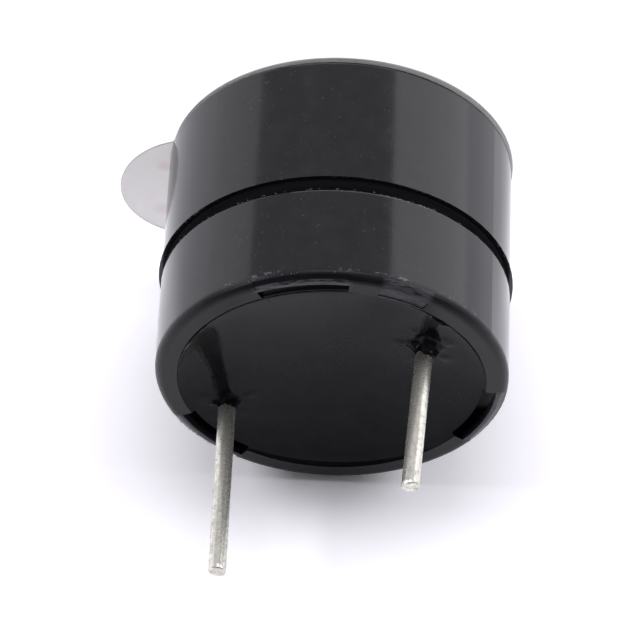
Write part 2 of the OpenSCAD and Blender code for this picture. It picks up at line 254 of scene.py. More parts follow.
def scuffMask(tree, s, radius, height, angle):   # torn plastic beside the windows and across the pad
    fromFirst = addNode(tree, "ShaderNodeMath", {0: angle, 1: math.radians(windows["first"])},
                        operation="SUBTRACT")
    half = math.pi / windows["count"]
    fromMiddle = addNode(tree, "ShaderNodeMath", {0: fromFirst, 1: half, 2: -half}, operation="WRAP")
    away = addNode(tree, "ShaderNodeMath", {0: fromMiddle}, operation="ABSOLUTE")
    inWindow = addNode(tree, "ShaderNodeMapRange", {"Value": away,
                       "From Min": math.radians(windows["half"] - 1),
                       "From Max": math.radians(windows["half"] + 1.5), "To Min": 1.0, "To Max": 0.0})
    onWall = addNode(tree, "ShaderNodeMapRange", {"Value": radius, "From Min": s["wallFrom"][0] * mm,
                     "From Max": s["wallFrom"][1] * mm})
    nearFace = addNode(tree, "ShaderNodeMapRange", {"Value": height, "From Min": s["scuffedTo"][0] * mm,
                       "From Max": s["scuffedTo"][1] * mm, "To Min": 1.0, "To Max": 0.0})
    # the first window is torn on the flat of its wall only, the other two over the bevel as well
    turned = addNode(tree, "ShaderNodeMath", {0: fromFirst}, operation="COSINE")
    others = addNode(tree, "ShaderNodeMath", {0: turned, 1: 0.5}, operation="LESS_THAN")
    flatOnly = addNode(tree, "ShaderNodeMapRange", {"Value": radius, "From Min": s["bevelFrom"][0] * mm,
                       "From Max": s["bevelFrom"][1] * mm, "To Min": 1.0, "To Max": 0.0})
    tornPart = addNode(tree, "ShaderNodeMath", {0: others, 1: flatOnly}, operation="MAXIMUM")
    wall = addNode(tree, "ShaderNodeMath", {0: inWindow, 1: onWall}, operation="MULTIPLY")
    tornWall = addNode(tree, "ShaderNodeMath", {0: wall, 1: tornPart}, operation="MULTIPLY")
    # the rim's face across the shallow pad beside the first window was scraped, more faintly
    onPad = addNode(tree, "ShaderNodeMapRange", {
                    "Value": distanceFrom(tree, angle, math.radians(s["padAt"])),
                    "From Min": math.radians(s["padHalf"] - 2), "From Max": math.radians(s["padHalf"]),
                    "To Min": s["padScuff"], "To Max": 0.0})
    both = addNode(tree, "ShaderNodeMath", {0: tornWall, 1: onPad}, operation="MAXIMUM")
    scuffed = addNode(tree, "ShaderNodeMath", {0: both, 1: nearFace}, operation="MULTIPLY")
    # scuffs run round the rim, so their noise is stretched along the arc
    ring = addNode(tree, "ShaderNodeMath", {0: radius, 1: perMm(1.0)}, operation="MULTIPLY")
    rise = addNode(tree, "ShaderNodeMath", {0: height, 1: perMm(1.0)}, operation="MULTIPLY")
    arcPlace = addNode(tree, "ShaderNodeCombineXYZ", {"X": angle, "Y": ring, "Z": rise})
    streaks = addNode(tree, "ShaderNodeTexNoise", {"Vector": arcPlace, "Scale": s["streaksPerMm"],
                      "Detail": 4.0, "Roughness": 0.65})
    torn = addNode(tree, "ShaderNodeMapRange", {"Value": streaks, "From Min": 0.34, "From Max": 0.56})
    return addNode(tree, "ShaderNodeMath", {0: scuffed, 1: torn}, operation="MULTIPLY")


def wearMask(tree, s, place, radius, height, broad):   # chips in loose groups, on the outside of worn edges
    fleck = addNode(tree, "ShaderNodeTexNoise", {"Vector": place, "Scale": perMm(s["fleck"]), "Detail": 3.0,
                    "Roughness": 0.7})
    flecks = addNode(tree, "ShaderNodeMapRange", {"Value": fleck, "From Min": 0.5, "From Max": 0.62})
    groups = addNode(tree, "ShaderNodeMapRange", {"Value": broad, "From Min": 0.48, "From Max": 0.6})
    chips = addNode(tree, "ShaderNodeMath", {0: flecks, 1: groups}, operation="MULTIPLY")
    worn = 0.0
    for edge in s["wornEdges"]:
        near = addNode(tree, "ShaderNodeMapRange", {"Value": distanceFrom(tree, height, edge["z"] * mm),
                       "From Min": edge["spread"] / 2 * mm, "From Max": edge["spread"] * mm,
                       "To Min": 1.0, "To Max": 0.0})
        outside = addNode(tree, "ShaderNodeMath", {0: radius, 1: edge["least"] * mm},
                          operation="GREATER_THAN")
        bare = addNode(tree, "ShaderNodeMath", {0: near, 1: outside}, operation="MULTIPLY")
        worn = addNode(tree, "ShaderNodeMath", {0: worn, 1: bare}, operation="MAXIMUM")
    return addNode(tree, "ShaderNodeMath", {0: worn, 1: chips}, operation="MULTIPLY")


# painted light: a paler grey inside the groove between the halves, fading deeper under the lip where less
# light reaches
def paintedGrooveLightMask(tree, s, radius, height):   # the groove between the halves, less towards its top
    within = addNode(tree, "ShaderNodeMath", {0: radius, 1: s["paintedGrooveLightWithin"] * mm}, operation="LESS_THAN")
    above = addNode(tree, "ShaderNodeMath", {0: height, 1: s["paintedGrooveLightFrom"] * mm}, operation="GREATER_THAN")
    below = addNode(tree, "ShaderNodeMapRange", {"Value": height, "From Min": s["paintedGrooveLightFrom"] * mm,
                    "From Max": s["paintedGrooveLightTo"] * mm, "To Min": 1.0, "To Max": 0.25})
    between = addNode(tree, "ShaderNodeMath", {0: above, 1: below}, operation="MULTIPLY")
    return addNode(tree, "ShaderNodeMath", {0: between, 1: within}, operation="MULTIPLY")


def mouldedPlastic(s):
    material, tree = newMaterial("moulded black PBT")
    place = addNode(tree, "ShaderNodeTexCoord").outputs["Object"]
    axes = addNode(tree, "ShaderNodeSeparateXYZ", {0: place})
    height = axes.outputs["Z"]
    flat = addNode(tree, "ShaderNodeVectorMath", {0: place, 1: (1, 1, 0)}, operation="MULTIPLY")
    radius = addNode(tree, "ShaderNodeVectorMath", {0: flat}, operation="LENGTH")
    angle = addNode(tree, "ShaderNodeMath", {0: axes.outputs["Y"], 1: axes.outputs["X"]}, operation="ARCTAN2")
    broad = addNode(tree, "ShaderNodeTexNoise", {"Vector": place, "Scale": perMm(s["groups"]), "Detail": 3.0})
    scuff = scuffMask(tree, s, radius, height, angle)
    wear = wearMask(tree, s, place, radius, height, broad)
    # the moulded skin has a faint cloudy bloom, and dust lies on it; the groove between the halves gets
    # painted light, a paler grey
    bloom = addNode(tree, "ShaderNodeTexNoise", {"Vector": place, "Scale": perMm(s["bloom"]), "Detail": 6.0,
                    "Roughness": 0.65})
    cloudy = addNode(tree, "ShaderNodeMapRange", {"Value": bloom, "From Min": 0.4, "From Max": 0.7})
    dust = addNode(tree, "ShaderNodeTexNoise", {"Vector": place, "Scale": perMm(s["dust"]), "Detail": 1.0})
    specks = addNode(tree, "ShaderNodeMapRange", {"Value": dust, "From Min": 0.7, "From Max": 0.77})
    colour = toLinear(s["colour"])
    for amount, layer in ((cloudy, "bloomColour"), (specks, "dustColour"),
                          (paintedGrooveLightMask(tree, s, radius, height), "paintedGrooveLightColour"), (wear, "wornColour"),
                          (scuff, "scuffColour")):
        colour = addNode(tree, "ShaderNodeMix", {0: amount, 6: colour, 7: toLinear(s[layer])},
                         data_type="RGBA")
    skin = addNode(tree, "ShaderNodeMapRange", {"Value": broad, "From Min": 0.3, "From Max": 0.7,
                   "To Min": s["gloss"][0], "To Max": s["gloss"][1]})
    dulled = addNode(tree, "ShaderNodeMath", {0: wear, 1: scuff}, operation="MAXIMUM")
    # the rim's face is duller than the sides, where the resin's skin of vapour settled, and a grey tint on
    # its reflection is painted shade
    onFace = addNode(tree, "ShaderNodeMapRange", {"Value": height, "From Min": s["faceTo"][0] * mm,
                     "From Max": s["faceTo"][1] * mm, "To Min": 1.0, "To Max": 0.0})
    faceDull = addNode(tree, "ShaderNodeMath", {0: onFace, 1: s["faceDull"]}, operation="MULTIPLY")
    dullest = addNode(tree, "ShaderNodeMath", {0: dulled, 1: faceDull}, operation="MAXIMUM")
    roughness = addNode(tree, "ShaderNodeMix", {0: dullest, 2: skin, 3: s["dull"]})
    grain = addNode(tree, "ShaderNodeTexNoise", {"Vector": place, "Scale": perMm(s["grain"]), "Detail": 2.0})
    rough = addNode(tree, "ShaderNodeMath", {0: dulled, 1: s["tornRelief"], 2: grain},
                    operation="MULTIPLY_ADD")
    bump = addNode(tree, "ShaderNodeBump", {"Height": rough, "Strength": 0.5, "Distance": s["relief"] * mm})
    # painted shade: a grey specular tint dims the reflection on the rim's face
    tint = addNode(tree, "ShaderNodeMix", {0: onFace, 6: toLinear("#ffffff"), 7: toLinear(s["faceReflectionShade"])},
                   data_type="RGBA")
    shader = addNode(tree, "ShaderNodeBsdfPrincipled", {"Base Color": colour, "Roughness": roughness,
                     "IOR": 1.5, "Specular IOR Level": 0.5, "Specular Tint": tint, "Normal": bump})
    addNode(tree, "ShaderNodeOutputMaterial", {"Surface": shader})
    return material


dress(["upper_case", "lower_case"], mouldedPlastic(caseFinish))


# cast epoxy: poured and cured, a smooth black pool with slow waves, faint cloudy patches and a little dust
resinFinish = dict(colour="#0e1013", cloudColour="#14171b", dustColour="#242528", gloss=(0.03, 0.08),
                   specular=0.078, clouds=1.1, waves=1.6, relief=0.05, dust=0.12)


def castEpoxy(s):
    material, tree = newMaterial("cast black epoxy")
    place = addNode(tree, "ShaderNodeTexCoord").outputs["Object"]
    slow = addNode(tree, "ShaderNodeTexNoise", {"Vector": place, "Scale": perMm(s["waves"]), "Detail": 1.0})
    bump = addNode(tree, "ShaderNodeBump", {"Height": slow, "Strength": 0.35, "Distance": s["relief"] * mm})
    cloud = addNode(tree, "ShaderNodeTexNoise", {"Vector": place, "Scale": perMm(s["clouds"]), "Detail": 4.0,
                    "Roughness": 0.6})
    patches = addNode(tree, "ShaderNodeMapRange", {"Value": cloud, "From Min": 0.42, "From Max": 0.62})
    tone = addNode(tree, "ShaderNodeMix", {0: patches, 6: toLinear(s["colour"]),
                   7: toLinear(s["cloudColour"])}, data_type="RGBA")
    dust = addNode(tree, "ShaderNodeTexNoise", {"Vector": place, "Scale": perMm(s["dust"]), "Detail": 2.0})
    specks = addNode(tree, "ShaderNodeMapRange", {"Value": dust, "From Min": 0.68, "From Max": 0.76})
    colour = addNode(tree, "ShaderNodeMix", {0: specks, 6: tone, 7: toLinear(s["dustColour"])},
                     data_type="RGBA")
    roughness = addNode(tree, "ShaderNodeMapRange", {"Value": slow, "From Min": 0.3, "From Max": 0.7,
                        "To Min": s["gloss"][0], "To Max": s["gloss"][1]})
    shader = addNode(tree, "ShaderNodeBsdfPrincipled", {"Base Color": colour, "Roughness": roughness,
                     "IOR": 1.5, "Specular IOR Level": s["specular"], "Normal": bump})
    addNode(tree, "ShaderNodeOutputMaterial", {"Surface": shader})
    return material


epoxyMaterial = castEpoxy(resinFinish)
dress(["potting"], epoxyMaterial)

# the pool itself: it dished as it cured, crept up the rim, ran over into the first window, and climbed each
# pin in a ragged collar; seam is how far the steps of its hidden outline lean
poolSetup = dict(
    wellR=boxOf("potting")[1][0], slotR=5.13, floor=boxOf("potting")[1][2] - 0.01, edge=0.03, dish=0.6,
    creep=0.12, creepWidth=0.18, creepAt=-44, creepSpread=13, creepMore=1.6, wave=0.005, waveSize=1.4,
    runR=5.59, runDepth=0.24, runFall=0.12, runStep=0.34, runFloor=0.6,
    backHalf=18.7, backR=5.03, backDepth=0.235, ledgeR=4.94, ledgeDepth=0.94, seam=0.002,
    wireR=0.3, hill=0.08, hillWidth=0.8, hillReach=3.0, lobeWidth=0.35, ridgeAt=0.55, ridgeWidth=0.22,
    spokes=400, rings=150)
collars = dict(
    positive=dict(top=-0.05, width=0.11, turn=0.7, ridge=0.02, lobes=((209, 0.3), (25, 0.1))),
    negative=dict(top=-0.12, width=0.24, turn=2.1, ridge=0.03, lobes=((299, 0.22), (212, 0.24), (20, 0.14))))


def poolHeight(s, x, y, onRun=False):   # height of the cured surface, in mm
    r = math.hypot(x, y)
    turned = math.remainder(math.atan2(y, x) - math.radians(s["creepAt"]), 2 * math.pi)
    more = s["creepMore"] * math.exp(-(turned / math.radians(s["creepSpread"])) ** 2)
    rise = s["creep"] * (1 + more * min(1.0, r / s["wellR"]) ** 3)
    inside = min(r, s["slotR"]) if onRun else r
    z = s["edge"] + s["dish"] * (1 - (inside / s["wellR"]) ** 2)
    z += rise * (1 - math.exp((inside - s["wellR"]) / s["creepWidth"]))
    z += s["wave"] * noise.noise(Vector((x, y, 0)) / s["waveSize"])
    past = r - s["slotR"]
    if onRun and past > 0.005:
        fall = s["runFall"] * past / (s["runR"] - s["slotR"])
        z += (s["runDepth"] - fall) * min(1.0, past / s["runStep"])
    climb = 0.0
    for side, collar in collars.items():
        dx, dy = x - pinAt[side][0], y - pinAt[side][1]
        off = max(0.0, math.hypot(dx, dy) - s["wireR"])
        if off > s["hillReach"]:
            continue
        t, turn = math.atan2(dy, dx), collar["turn"]
        wide = collar["width"] * (1 + 0.2 * math.sin(3 * t + turn) + 0.15 * math.sin(7 * t + 2 * turn))
        for at, extra in collar["lobes"]:
            fromLobe = math.remainder(t - math.radians(at), 2 * math.pi)
            wide += extra * math.exp(-(fromLobe / s["lobeWidth"]) ** 2)
        steep = max(0.0, 1 - off / wide) ** 2
        ripple = collar["ridge"] * math.exp(-((off - s["ridgeAt"]) / s["ridgeWidth"]) ** 2)
        ripple *= max(0.0, math.sin(5 * t + turn) + 0.3 * math.sin(11 * t))
        climb = max(climb, 0.0) + (z - collar["top"] - s["hill"]) * steep
        climb += s["hill"] * math.exp(-off / s["hillWidth"]) + ripple
    return z - climb


def makePool(s):
    half, back = math.radians(windows["half"]), math.radians(s["backHalf"])
    first, span = math.radians(windows["first"]), 2 * math.pi / windows["count"]
    spokes = [2 * math.pi * k / s["spokes"] for k in range(s["spokes"])]
    for k in range(windows["count"]):   # two spokes close together where the outline steps
        for end in (-back, -half, half, back):
            spokes += [(first + k * span + end + step) % (2 * math.pi) for step in (-0.001, 0.001)]
    spokes.sort()
    work = bmesh.new()
    middle = work.verts.new((0, 0, poolHeight(s, 0, 0) * mm))
    base = work.verts.new((0, 0, s["floor"] * mm))
    columns = []
    for t in spokes:
        away = abs(math.remainder(t - first, span))
        onRun = abs(math.remainder(t - first, 2 * math.pi)) < half
        outer = s["runR"] if onRun else s["slotR"] if away < half else s["wellR"]
        step = s["backR"] + 0.12 if onRun else outer
        inner = s["backR"] if away < back else outer
        low = s["runFloor"] if onRun else s["backDepth"] - 2 * s["seam"]
        column = []
        for i in range(1, s["rings"] + 1):
            r = outer * (1 - (1 - i / s["rings"]) ** 1.25)   # closer rings near the rim
            x, y = r * math.cos(t), r * math.sin(t)
            column.append(work.verts.new((x * mm, y * mm, poolHeight(s, x, y, onRun) * mm)))
        for r, z in ((outer, low), (step, low + s["seam"]), (step, s["backDepth"]),
                     (inner, s["backDepth"] + s["seam"]), (inner, s["ledgeDepth"]),
                     (s["ledgeR"], s["ledgeDepth"] + s["seam"]), (s["ledgeR"], s["floor"])):
            column.append(work.verts.new((r * math.cos(t) * mm, r * math.sin(t) * mm, z * mm)))
        columns.append(column)
    for own, after in zip(columns, columns[1:] + columns[:1]):
        work.faces.new((middle, after[0], own[0]))
        for i in range(len(own) - 1):
            work.faces.new((own[i], after[i], after[i + 1], own[i + 1]))
        work.faces.new((base, own[-1], after[-1]))
    bmesh.ops.recalc_face_normals(work, faces=work.faces)
    mesh = bpy.data.meshes.new("epoxyPool")
    work.to_mesh(mesh)
    work.free()
    mesh.materials.append(epoxyMaterial)
    mesh.shade_smooth()
    mesh.set_sharp_from_angle(angle=math.radians(60))
    piece = addObject("epoxyPool", mesh)
    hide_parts("potting")
    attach(piece, "root")
    print("resin pool:", len(mesh.polygons), "faces")


makePool(poolSetup)


# hot-tinned copper-clad steel wire: drawn, so faint lines run along it, with a dull patchy bloom on the tin
wireFinish = dict(bright="#e0dfd5", dull="#a7a599", rough=(0.21, 0.36), metal=0.8, drawn=0.05, patches=0.22,
                  relief=0.004)


def tinnedWire(s):
    material, tree = newMaterial("tinned copper-clad steel wire")
    place = addNode(tree, "ShaderNodeTexCoord").outputs["Object"]
    long = addNode(tree, "ShaderNodeMapping", {"Vector": place, "Scale": (1, 1, 0.06)})
    lines = addNode(tree, "ShaderNodeTexNoise", {"Vector": long, "Scale": perMm(s["drawn"]), "Detail": 2.0})
    patch = addNode(tree, "ShaderNodeTexNoise", {"Vector": place, "Scale": perMm(s["patches"]), "Detail": 5.0,
                    "Roughness": 0.7})
    bloom = addNode(tree, "ShaderNodeMapRange", {"Value": patch, "From Min": 0.42, "From Max": 0.66})
    colour = addNode(tree, "ShaderNodeMix", {0: bloom, 6: toLinear(s["bright"]), 7: toLinear(s["dull"])},
                     data_type="RGBA")
    roughness = addNode(tree, "ShaderNodeMapRange", {"Value": bloom, "To Min": s["rough"][0],
                        "To Max": s["rough"][1]})
    both = addNode(tree, "ShaderNodeMath", {0: patch, 1: 1.5, 2: lines}, operation="MULTIPLY_ADD")
    bump = addNode(tree, "ShaderNodeBump", {"Height": both, "Strength": 0.5, "Distance": s["relief"] * mm})
    shader = addNode(tree, "ShaderNodeBsdfPrincipled", {"Base Color": colour, "Metallic": s["metal"],
                     "Roughness": roughness, "Normal": bump})
    addNode(tree, "ShaderNodeOutputMaterial", {"Surface": shader})
    return material


wireMaterial = tinnedWire(wireFinish)
dress(["positive_pin", "negative_pin"], wireMaterial)


def meshPiece(name, points, faces, material):   # a piece from points in mm and faces
    mesh = bpy.data.meshes.new(name)
    mesh.from_pydata([Vector(point) * mm for point in points], [], faces)
    mesh.materials.append(material)
    return addObject(name, mesh)


# pins: sheared off by a cutter, so the end is a little slanted with a nick, and one was knocked over slightly
pinSetup = dict(sides=56, steps=40, wireR=0.3, stemR=0.25, stemCut=0.03, gripR=0.33, bareInside=0.1,
                boardFace=boxOf("circuit_board")[0][2], leanFrom=1.0, chamfer=0.045, chamferBend=0.35,
                dishR=0.45, dish=0.01, centre=0.02, cutMark=0.12, slant=0.05, nickDepth=0.07, nickWidth=0.5)
pinPlaces = dict(
    positive=dict(node="positive_pin", lean=(0.0, 0.0), slantAt=200, nickAt=20),
    negative=dict(node="negative_pin", lean=(-0.056, -0.031), slantAt=120, nickAt=-20))


def makePin(name, s, own, at):
    tip, top = [corner[2] for corner in boxOf(own["node"])]
    wire, stem, edge, inside = s["wireR"], s["stemR"], s["chamfer"], s["bareInside"]
    profile = [(stem - s["stemCut"], top), (stem, top - s["stemCut"]), (stem, s["boardFace"]),
               (wire, s["boardFace"]), (s["gripR"], (inside + s["boardFace"]) / 2), (wire, inside)]
    profile += [(wire, inside + (tip + edge - inside) * i / s["steps"]) for i in range(1, s["steps"] + 1)]
    profile += [(wire - edge * s["chamferBend"], tip + edge * s["chamferBend"]), (wire - edge, tip),
                (wire * s["dishR"], tip + s["dish"])]
    points = []
    for radius, z in profile:
        nearTip = max(0.0, 1 - (z - tip) / s["cutMark"])   # the cutter marks only the end
        drop = max(0.0, s["leanFrom"] - z)
        cx, cy = at[0] + own["lean"][0] * drop, at[1] + own["lean"][1] * drop
        for k in range(s["sides"]):
            t = 2 * math.pi * k / s["sides"]
            tilt = 0.5 + 0.5 * math.cos(t - math.radians(own["slantAt"]))
            slant = s["slant"] * tilt * radius / wire
            gap = math.remainder(t - math.radians(own["nickAt"]), 2 * math.pi)
            nick = s["nickDepth"] * math.exp(-(gap / s["nickWidth"]) ** 2) * (radius / wire) ** 3
            x, y = cx + radius * math.cos(t), cy + radius * math.sin(t)
            points.append((x, y, z + nearTip * (slant + nick)))
    drop = max(0.0, s["leanFrom"] - tip)
    points.append((at[0], at[1], top))
    points.append((at[0] + own["lean"][0] * drop, at[1] + own["lean"][1] * drop, tip + s["centre"]))
    rings, n = len(profile), s["sides"]
    last = (rings - 1) * n
    faces = [(i * n + k, (i + 1) * n + k, (i + 1) * n + (k + 1) % n, i * n + (k + 1) % n)
             for i in range(rings - 1) for k in range(n)]
    faces += [(rings * n, k, (k + 1) % n) for k in range(n)]
    faces += [(rings * n + 1, last + (k + 1) % n, last + k) for k in range(n)]
    piece = meshPiece(name, points, faces, wireMaterial)
    piece.data.shade_smooth()
    piece.data.set_sharp_from_angle(angle=math.radians(32))
    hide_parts(own["node"])
    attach(piece, "root")


for side, own in pinPlaces.items():
    makePin(side + "Wire", pinSetup, own, pinAt[side])
print("pins made")


# die-cut polyester film: milky and half clear, with a greyer cut edge and two faint rosy stains
filmFinish = dict(tones=("#eae5e1", "#f4f0ec"), edgeColour="#8f8e8c", stainColour="#dba9ae",
                  stainStrength=0.45, stains=((-5.57, -2.71, 0.42), (-6.84, -0.59, 0.5)), rough=0.28,
                  cover=0.45, edgeCover=0.7, overhang=5.6, disc=(0.096, -0.063), tabWay=(-0.979, -0.204),
                  tabRoot=5.45, cloud=0.5, relief=0.01)


def polyesterFilm(s):
    material, tree = newMaterial("milky polyester film")
    place = addNode(tree, "ShaderNodeTexCoord").outputs["Object"]
    flat = addNode(tree, "ShaderNodeVectorMath", {0: place, 1: (1, 1, 0)}, operation="MULTIPLY")
    cloud = addNode(tree, "ShaderNodeTexNoise", {"Vector": place, "Scale": perMm(s["cloud"]), "Detail": 5.0,
                    "Roughness": 0.6})
    tone = addNode(tree, "ShaderNodeMix", {0: cloud, 6: toLinear(s["tones"][0]), 7: toLinear(s["tones"][1])},
                   data_type="RGBA")
    for x, y, size in s["stains"]:
        away = addNode(tree, "ShaderNodeVectorMath", {0: flat, 1: (x * mm, y * mm, 0)}, operation="DISTANCE")
        spot = addNode(tree, "ShaderNodeMapRange", {"Value": away, "From Min": size * 0.2 * mm,
                       "From Max": size * mm, "To Min": s["stainStrength"], "To Max": 0.0},
                       interpolation_type="SMOOTHSTEP")
        tone = addNode(tree, "ShaderNodeMix", {0: spot, 6: tone, 7: toLinear(s["stainColour"])},
                       data_type="RGBA")
    # painted shade: the strip that stands out past the case, away from the tab, is made less clear, so that
    # it shows darker beside the black case
    disc = [c * mm for c in s["disc"]] + [0]
    fromDisc = addNode(tree, "ShaderNodeVectorMath", {0: flat, 1: disc}, operation="SUBTRACT")
    reach = addNode(tree, "ShaderNodeVectorMath", {0: fromDisc}, operation="LENGTH")
    along = addNode(tree, "ShaderNodeVectorMath", {0: fromDisc, 1: list(s["tabWay"]) + [0]},
                    operation="DOT_PRODUCT")
    past = addNode(tree, "ShaderNodeMapRange", {"Value": reach, "From Min": s["overhang"] * mm,
                   "From Max": (s["overhang"] + 0.06) * mm})
    offTab = addNode(tree, "ShaderNodeMapRange", {"Value": along, "From Min": (s["tabRoot"] - 0.2) * mm,
                     "From Max": s["tabRoot"] * mm, "To Min": 1.0, "To Max": 0.0})
    strip = addNode(tree, "ShaderNodeMath", {0: past, 1: offTab}, operation="MULTIPLY")
    cut = addNode(tree, "ShaderNodeAttribute", attribute_name="cutEdge").outputs["Fac"]
    colour = addNode(tree, "ShaderNodeMix", {0: cut, 6: tone, 7: toLinear(s["edgeColour"])}, data_type="RGBA")
    # the cut edge and the painted-shade strip both take the higher cover
    edgeAndShadeCover = addNode(tree, "ShaderNodeMath", {0: cut, 1: strip}, operation="MAXIMUM")
    cover = addNode(tree, "ShaderNodeMapRange", {"Value": edgeAndShadeCover, "To Min": s["cover"],
                    "To Max": s["edgeCover"]})
    bump = addNode(tree, "ShaderNodeBump", {"Height": cloud, "Strength": 0.3, "Distance": s["relief"] * mm})
    shader = addNode(tree, "ShaderNodeBsdfPrincipled", {"Base Color": colour, "Roughness": s["rough"],
                     "IOR": 1.57, "Alpha": cover, "Normal": bump})
    addNode(tree, "ShaderNodeOutputMaterial", {"Surface": shader})
    return material


filmMaterial = polyesterFilm(filmFinish)
dress(["wash_seal"], filmMaterial)

# the seal: one flat sheet on the top face, whose tab droops a little past the case, one corner more
sealSetup = dict(r=caseR - 0.015, shift=0.115, shiftAngle=-33, tabAngle=191.8, tabWidth=5.5, tabReach=8.0,
                 thickness=0.04, rows=150, columns=40, edgeBand=0.05, droopFrom=5.95, droop=0.03,
                 cornerAt=(5.75, 2.3), cornerWay=(0.52, 0.85), foldFrom=5.6, fold=0.02)


def makeSeal(s):
    turn = math.radians(s["tabAngle"])
    away = math.radians(s["shiftAngle"] - s["tabAngle"])
    # u runs along the tab and v across it; the round part's centre is at cu, cv
    cu, cv = s["shift"] * math.cos(away), s["shift"] * math.sin(away)
    half, start, end = s["tabWidth"] / 2, cu - s["r"], s["tabReach"]
    points, cutEdge = [], []
    for i in range(s["rows"] + 1):
        ease = 0.5 - 0.5 * math.cos(math.pi * i / s["rows"])   # rows crowd together at both ends
        u = start + 0.002 + (end - start - 0.004) * ease
        sides = []
        inDisc = s["r"] ** 2 - (u - cu) ** 2
        if inDisc > 0:
            sides += [cv - math.sqrt(inDisc), cv + math.sqrt(inDisc)]
        if u > 0:
            inTab = max(half ** 2 - max(0.0, u - end + half) ** 2, 1e-6)
            sides += [-math.sqrt(inTab), math.sqrt(inTab)]
        low, high = min(sides), max(sides)
        band = min(s["edgeBand"], (high - low) * 0.2)
        across = [low + band + (high - low - 2 * band) * j / s["columns"] for j in range(s["columns"] + 1)]
        across = [low] + across[:-1] + [high - band, high]
        for j, v in enumerate(across):
            bent = max(0.0, u - s["droopFrom"]) * s["droop"]
            corner = (u - s["cornerAt"][0]) * s["cornerWay"][0] + (v - s["cornerAt"][1]) * s["cornerWay"][1]
            if u > s["foldFrom"]:
                bent += max(0.0, corner) * s["fold"]
            x, y = u * math.cos(turn) - v * math.sin(turn), u * math.sin(turn) + v * math.cos(turn)
            points.append((x, y, topZ - bent))
            cutEdge.append(1.0 if j in (0, len(across) - 1) or i in (0, s["rows"]) else 0.0)
    rows, wide, count = s["rows"], s["columns"] + 3, len(points)
    points += [(x, y, z + s["thickness"]) for x, y, z in points]
    faces = []
    for i in range(rows):
        for j in range(wide - 1):
            a, b, c, d = i * wide + j, (i + 1) * wide + j, (i + 1) * wide + j + 1, i * wide + j + 1
            faces += [(d, c, b, a), (a + count, b + count, c + count, d + count)]
    outline = list(range(wide)) + [i * wide + wide - 1 for i in range(1, rows + 1)]
    outline += [rows * wide + j for j in range(wide - 2, -1, -1)] + [i * wide for i in range(rows - 1, 0, -1)]
    for a, b in zip(outline, outline[1:] + outline[:1]):
        faces.append((b, a, a + count, b + count))
    piece = meshPiece("sealFilm", points, faces, filmMaterial)
    mark = piece.data.attributes.new("cutEdge", "FLOAT", "POINT")
    mark.data.foreach_set("value", cutEdge + cutEdge)
    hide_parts("wash_seal")
    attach(piece, "root")


makeSeal(sealSetup)
print("seal made")


def finish(name, s):   # two close tones and a grain, in the roughness and lay that the piece's making leaves
    material, tree = newMaterial(name)
    place = addNode(tree, "ShaderNodeTexCoord").outputs["Object"]
    lay = addNode(tree, "ShaderNodeMapping", {"Vector": place, "Scale": s.get("lay", (1, 1, 1))})
    grain = addNode(tree, "ShaderNodeTexNoise", {"Vector": lay, "Scale": perMm(s["grain"]), "Detail": 4.0,
                    "Roughness": 0.6})
    tone = addNode(tree, "ShaderNodeMapRange", {"Value": grain, "From Min": 0.35, "From Max": 0.65})
    colour = addNode(tree, "ShaderNodeMix", {0: tone, 6: toLinear(s["tones"][0]), 7: toLinear(s["tones"][1])},
                     data_type="RGBA")
    if "ends" in s:   # end caps past this distance from each middle, along X
        x = addNode(tree, "ShaderNodeSeparateXYZ", {0: place}).outputs["X"]
        first, second = [distanceFrom(tree, x, middle * mm) for middle in s["ends"]["middles"]]
        nearest = addNode(tree, "ShaderNodeMath", {0: first, 1: second}, operation="MINIMUM")
        cap = addNode(tree, "ShaderNodeMath", {0: nearest, 1: s["ends"]["past"] * mm},
                      operation="GREATER_THAN")
        colour = addNode(tree, "ShaderNodeMix", {0: cap, 6: colour, 7: toLinear(s["ends"]["colour"])},
                         data_type="RGBA")
    roughness = addNode(tree, "ShaderNodeMapRange", {"Value": tone, "To Min": s["rough"][0],
                        "To Max": s["rough"][1]})
    bump = addNode(tree, "ShaderNodeBump", {"Height": grain, "Strength": 0.5, "Distance": s["relief"] * mm})
    shader = addNode(tree, "ShaderNodeBsdfPrincipled", {"Base Color": colour, "Metallic": s.get("metal", 0.0),
                     "Roughness": roughness, "Coat Weight": s.get("coat", 0.0), "Normal": bump})
    addNode(tree, "ShaderNodeOutputMaterial", {"Surface": shader})
    return material


